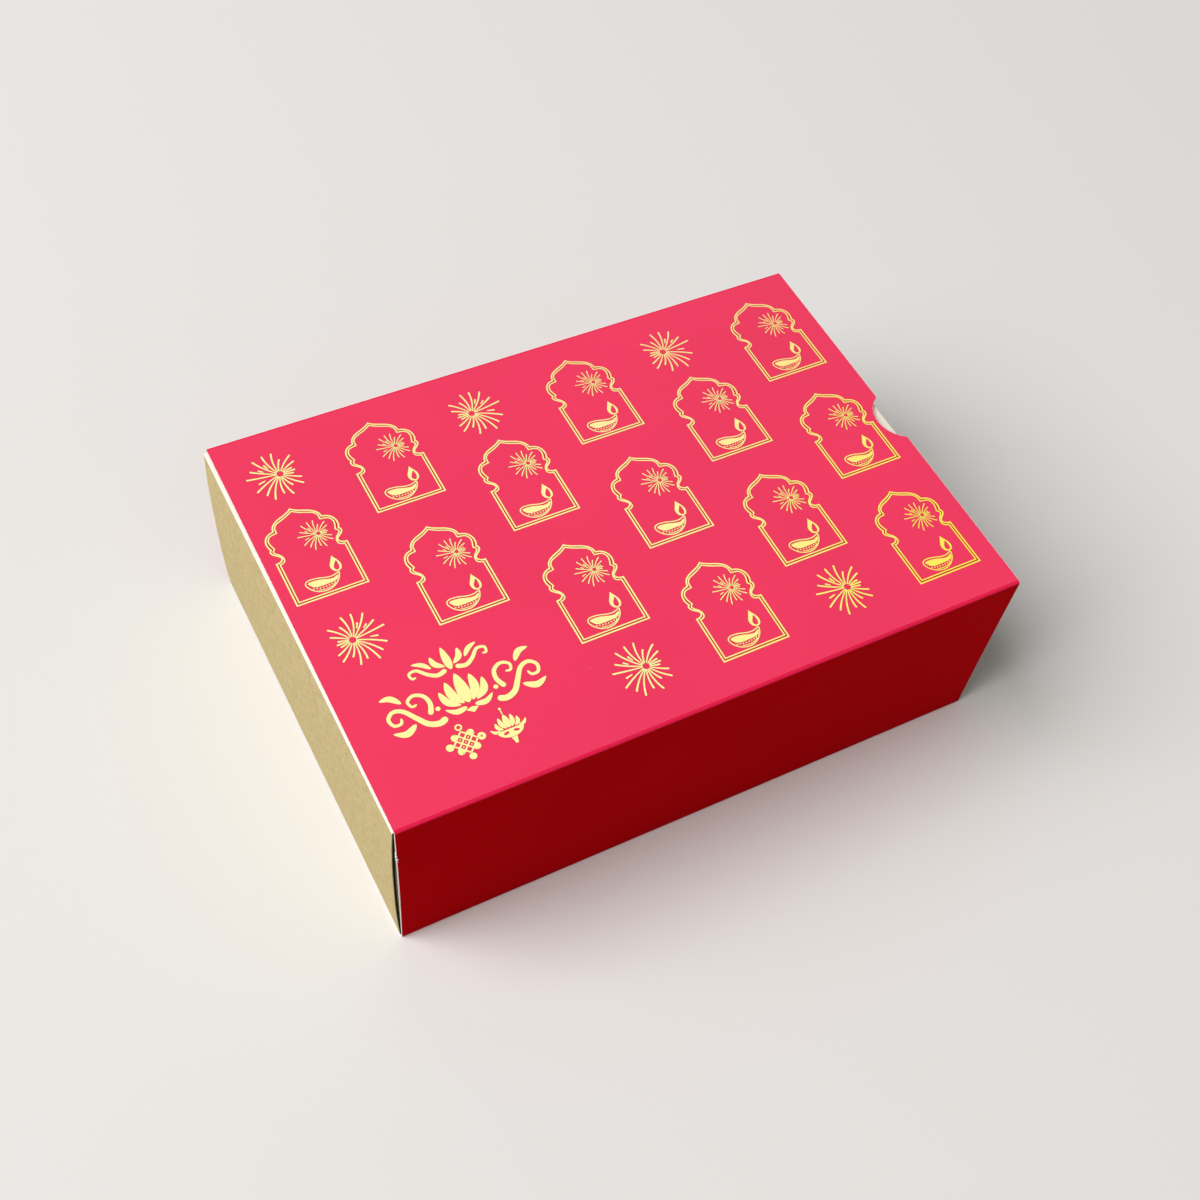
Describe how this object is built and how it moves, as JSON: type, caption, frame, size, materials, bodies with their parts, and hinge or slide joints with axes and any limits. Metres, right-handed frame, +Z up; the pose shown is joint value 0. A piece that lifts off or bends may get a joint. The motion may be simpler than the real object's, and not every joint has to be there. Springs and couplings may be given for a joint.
{
  "type": "sliding gift box",
  "caption": "Flat gift box: a printed carton sleeve, open at both ends with a thumb notch, round a folded kraft tray that slides out lengthways.",
  "frame": {"origin": "middle of the sleeve's underside", "axes": "+X along the slide, towards the end with the thumb notch; +Z up; the front wall faces -Y"},
  "size_m": [0.2552, 0.18, 0.084],
  "materials": {
    "sleeve_carton": "printed red, matte laminated",
    "tray_kraft": "natural brown kraft, uncoated",
    "glue": "dried clear glue"
  },
  "bodies": {
    "sleeve": {"sleeve_top_panel": "sleeve_carton", "sleeve_front_panel": "sleeve_carton", "sleeve_bottom_panel": "sleeve_carton", "sleeve_back_panel": "sleeve_carton", "sleeve_glue_flap": "sleeve_carton", "sleeve_glue_line": "glue"},
    "tray": {"tray_floor": "tray_kraft", "tray_front_wall": "tray_kraft", "tray_back_wall": "tray_kraft", "tray_left_end_panel": "tray_kraft", "tray_left_end_spine": "tray_kraft", "tray_left_inner_panel": "tray_kraft", "tray_left_front_flap": "tray_kraft", "tray_left_back_flap": "tray_kraft", "tray_right_end_panel": "tray_kraft", "tray_right_end_spine": "tray_kraft", "tray_right_inner_panel": "tray_kraft", "tray_right_front_flap": "tray_kraft", "tray_right_back_flap": "tray_kraft"}
  },
  "joints": [
    {"name": "tray_slide", "type": "slide", "parent": "sleeve", "child": "tray", "axis": [1, 0, 0], "range_m": [-0.258, 0.262]}
  ]
}
